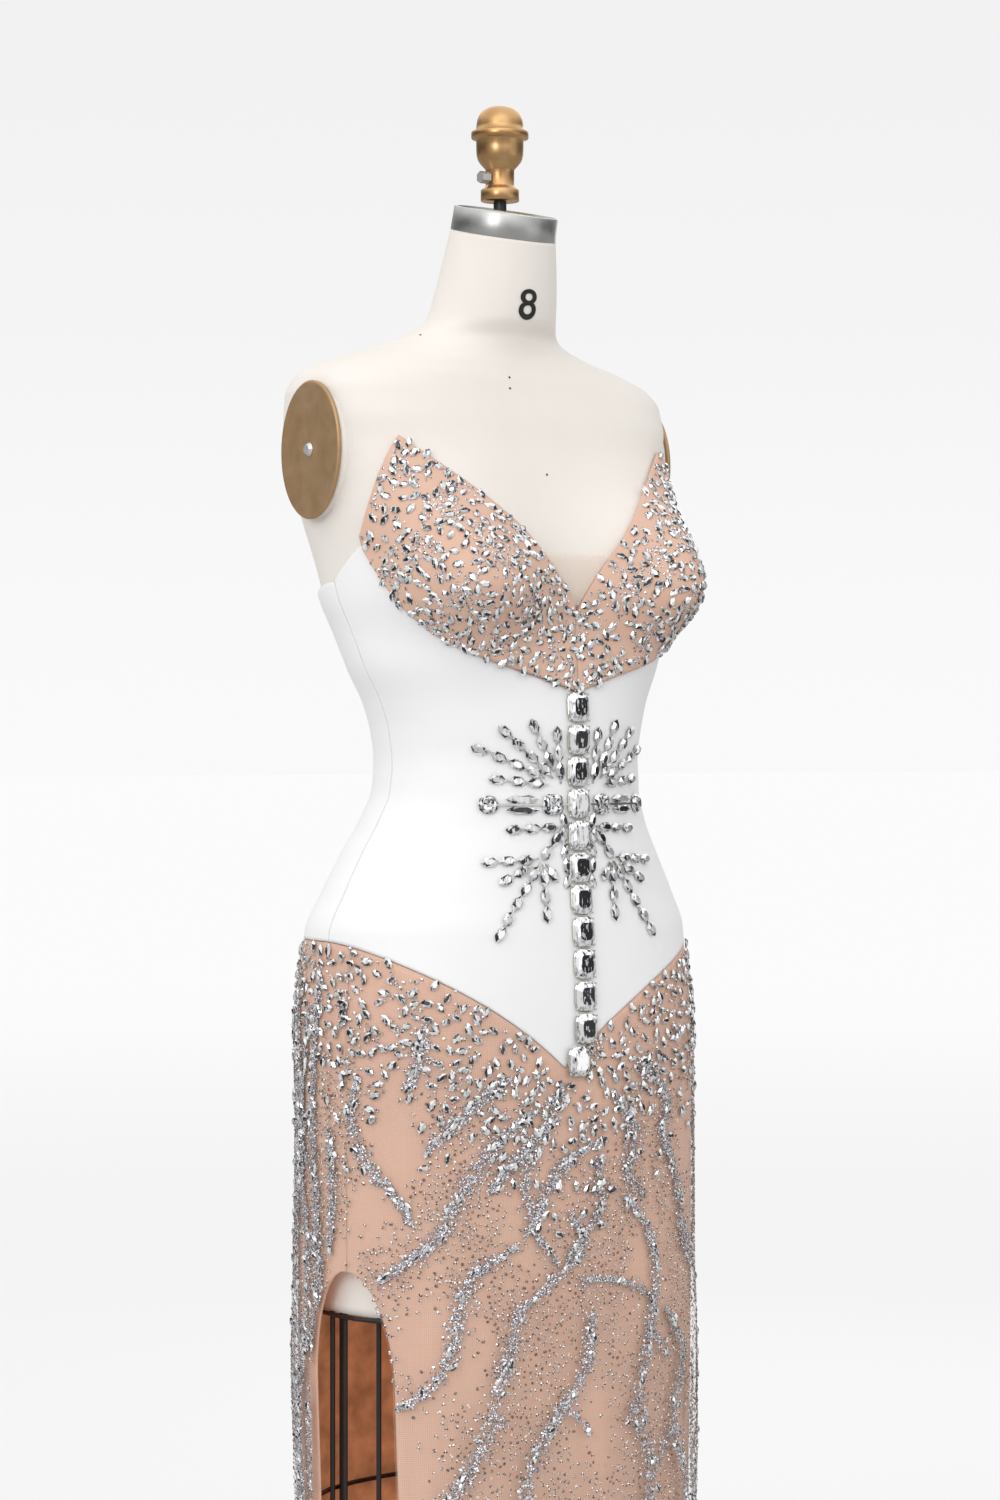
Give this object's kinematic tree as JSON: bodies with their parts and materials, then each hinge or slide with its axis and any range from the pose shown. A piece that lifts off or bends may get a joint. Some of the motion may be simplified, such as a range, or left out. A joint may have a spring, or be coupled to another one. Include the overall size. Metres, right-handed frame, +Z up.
{
  "type": "sequin evening dress on a limbless dress form",
  "caption": "Strapless floor-length evening gown with jewelled cups, white V-shaped bodice and sheer beaded skirt with a high slit, on a limbless dress form.",
  "frame": {"origin": "on the floor under the middle of the stand's base", "axes": "+Z up, -Y the wearer's front, +X the wearer's left"},
  "size_m": [0.4016, 0.2954, 1.665],
  "materials": {
    "nude_cloth": "smooth nude lining cloth",
    "white_cloth": "matt white stretch crepe",
    "sheer_net": "sheer net with silver sequins",
    "crystal": "foil-backed cut crystal",
    "canvas": "off-white linen canvas",
    "brass": "satin gold-brown lacquered metal",
    "steel": "brushed",
    "black_wire": "black satin paint",
    "iron_base": "black painted cast iron",
    "zip_tape": "white moulded chain"
  },
  "bodies": {
    "gown_and_form": {"arm_plate_left": "brass", "arm_plate_right": "brass", "arm_screw_left": "steel", "arm_screw_right": "steel", "bodice_back_left": "white_cloth", "bodice_back_right": "white_cloth", "bodice_front": "white_cloth", "cage_hoop_1": "black_wire", "cage_hoop_2": "black_wire", "cage_rim": "black_wire", "cage_wire_left_1": "black_wire", "cage_wire_left_2": "black_wire", "cage_wire_left_3": "black_wire", "cage_wire_left_4": "black_wire", "cage_wire_left_5": "black_wire", "cage_wire_right_1": "black_wire", "cage_wire_right_2": "black_wire", "cage_wire_right_3": "black_wire", "cage_wire_right_4": "black_wire", "cage_wire_right_5": "black_wire", "cup_left": "nude_cloth", "cup_right": "nude_cloth", "finial": "brass", "finial_rod": "black_wire", "finial_screw": "steel", "form_torso": "canvas", "jewel_bar_left": "crystal", "jewel_bar_right": "crystal", "jewel_column": "crystal", "jewel_spray_lower_left": "crystal", "jewel_spray_lower_right": "crystal", "jewel_spray_upper_left": "crystal", "jewel_spray_upper_right": "crystal", "neck_band": "steel", "plunge_net": "sheer_net", "skirt_lining_back_left": "nude_cloth", "skirt_lining_back_right": "nude_cloth", "skirt_lining_front": "nude_cloth", "skirt_net_back_left": "sheer_net", "skirt_net_back_right": "sheer_net", "skirt_net_front": "sheer_net", "stand_base": "iron_base", "stand_pole": "black_wire", "zip_chain": "zip_tape", "zip_slider": "steel"},
    "zip_tab": {"zip_tab": "steel"}
  },
  "joints": [
    {"name": "zip_tab_hinge", "type": "hinge", "parent": "gown_and_form", "child": "zip_tab", "pos_m": [0, 0.12197, 1.203], "axis": [1, 0, 0], "range_deg": [0, 150]}
  ]
}
